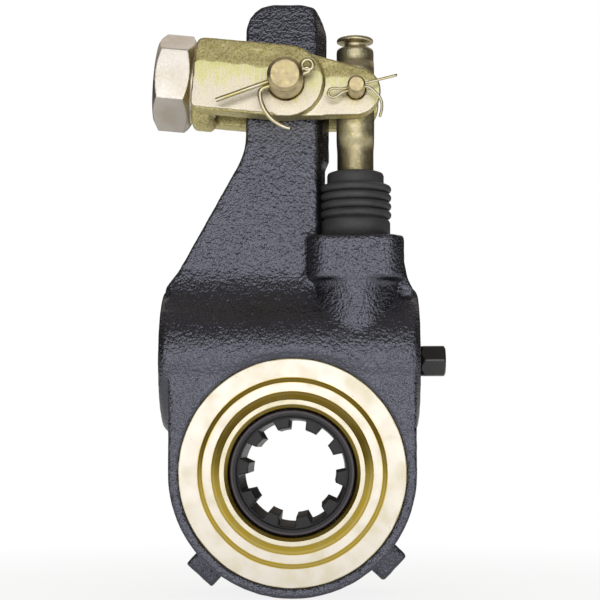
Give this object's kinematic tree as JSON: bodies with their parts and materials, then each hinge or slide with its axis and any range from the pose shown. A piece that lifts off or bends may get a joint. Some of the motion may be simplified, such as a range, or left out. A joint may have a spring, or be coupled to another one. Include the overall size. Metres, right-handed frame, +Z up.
{
  "type": "brake slack adjuster",
  "caption": "Automatic brake slack adjuster: cast arm with a splined worm gear, stamped covers, pinned clevis with a hex collar, and a booted actuator rod.",
  "frame": {"origin": "centre of the splined bore, half way between the two machined faces of the gear body", "axes": "+Z up the arm towards the clevis, +Y along the bore to the rear, +X along the worm shaft towards its adjusting hex"},
  "size_m": [0.1083, 0.0766, 0.2162],
  "materials": {
    "black_paint": "black paint over a rough sand casting",
    "yellow_zinc": "yellow zinc plate",
    "dark_steel": "black oxide",
    "bare_steel": "ground",
    "bronze": "machined bearing bronze",
    "rubber": "matt moulded rubber"
  },
  "bodies": {
    "housing": {"housing": "black_paint", "arm_bushing": "bronze", "front_cover": "yellow_zinc", "rear_cover": "yellow_zinc", "front_seal": "rubber", "rear_seal": "rubber", "front_gear_bushing": "bronze", "rear_gear_bushing": "bronze", "worm_bushing": "bronze", "worm_plug": "dark_steel", "worm_seal": "rubber", "boot": "rubber", "pawl_spring": "bare_steel", "pawl_cap": "dark_steel", "pawl_gasket": "bronze", "grease_fitting": "yellow_zinc"},
    "gear": {"worm_gear": "dark_steel"},
    "worm": {"worm_shaft": "dark_steel"},
    "actuator": {"actuator_sleeve": "bare_steel", "retaining_ring": "dark_steel"},
    "piston": {"piston": "bare_steel", "roller_pin": "dark_steel"},
    "clevis": {"clevis": "yellow_zinc", "clevis_collar": "yellow_zinc", "large_pin": "yellow_zinc", "large_cotter": "yellow_zinc", "small_pin": "yellow_zinc", "small_cotter": "yellow_zinc"},
    "rod": {"actuator_rod": "yellow_zinc"},
    "pawl": {"pawl": "bare_steel"}
  },
  "joints": [
    {"name": "gear_spin", "type": "hinge", "parent": "housing", "child": "gear", "pos_m": [0, 0, 0], "axis": [0, 1, 0], "continuous": true},
    {"name": "worm_spin", "type": "hinge", "parent": "housing", "child": "worm", "pos_m": [0, 0.007, 0.041], "axis": [1, 0, 0], "continuous": true},
    {"name": "actuator_spin", "type": "hinge", "parent": "housing", "child": "actuator", "pos_m": [0.02288, -0.008, 0.053], "axis": [0, 0, 1], "continuous": true},
    {"name": "clevis_swing", "type": "hinge", "parent": "housing", "child": "clevis", "pos_m": [-0.0024, -0.008, 0.1397], "axis": [0, -1, 0], "range_deg": [-12, 16], "deforming": ["boot"]},
    {"name": "rod_pivot", "type": "hinge", "parent": "clevis", "child": "rod", "pos_m": [0.02288, -0.008, 0.13727], "axis": [0, -1, 0], "range_deg": [-16.5, 12.5]},
    {"name": "piston_slide", "type": "slide", "parent": "housing", "child": "piston", "axis": [0, 0, 1], "range_m": [-0.0055, 0.0073]},
    {"name": "pawl_lift", "type": "slide", "parent": "housing", "child": "pawl", "axis": [0, 1, 0], "range_m": [0, 0.0015], "stiffness_N_per_m": 800, "springref_m": -0.002, "deforming": ["pawl_spring"]}
  ],
  "couplings": [
    {"joint": "worm_spin", "follows": "gear_spin", "ratio": -31},
    {"joint": "actuator_spin", "follows": "gear_spin", "ratio": -19.727},
    {"joint": "rod_pivot", "follows": "clevis_swing", "ratio": -1},
    {"joint": "piston_slide", "follows": "clevis_swing", "m_per_rad": 0.0252}
  ]
}
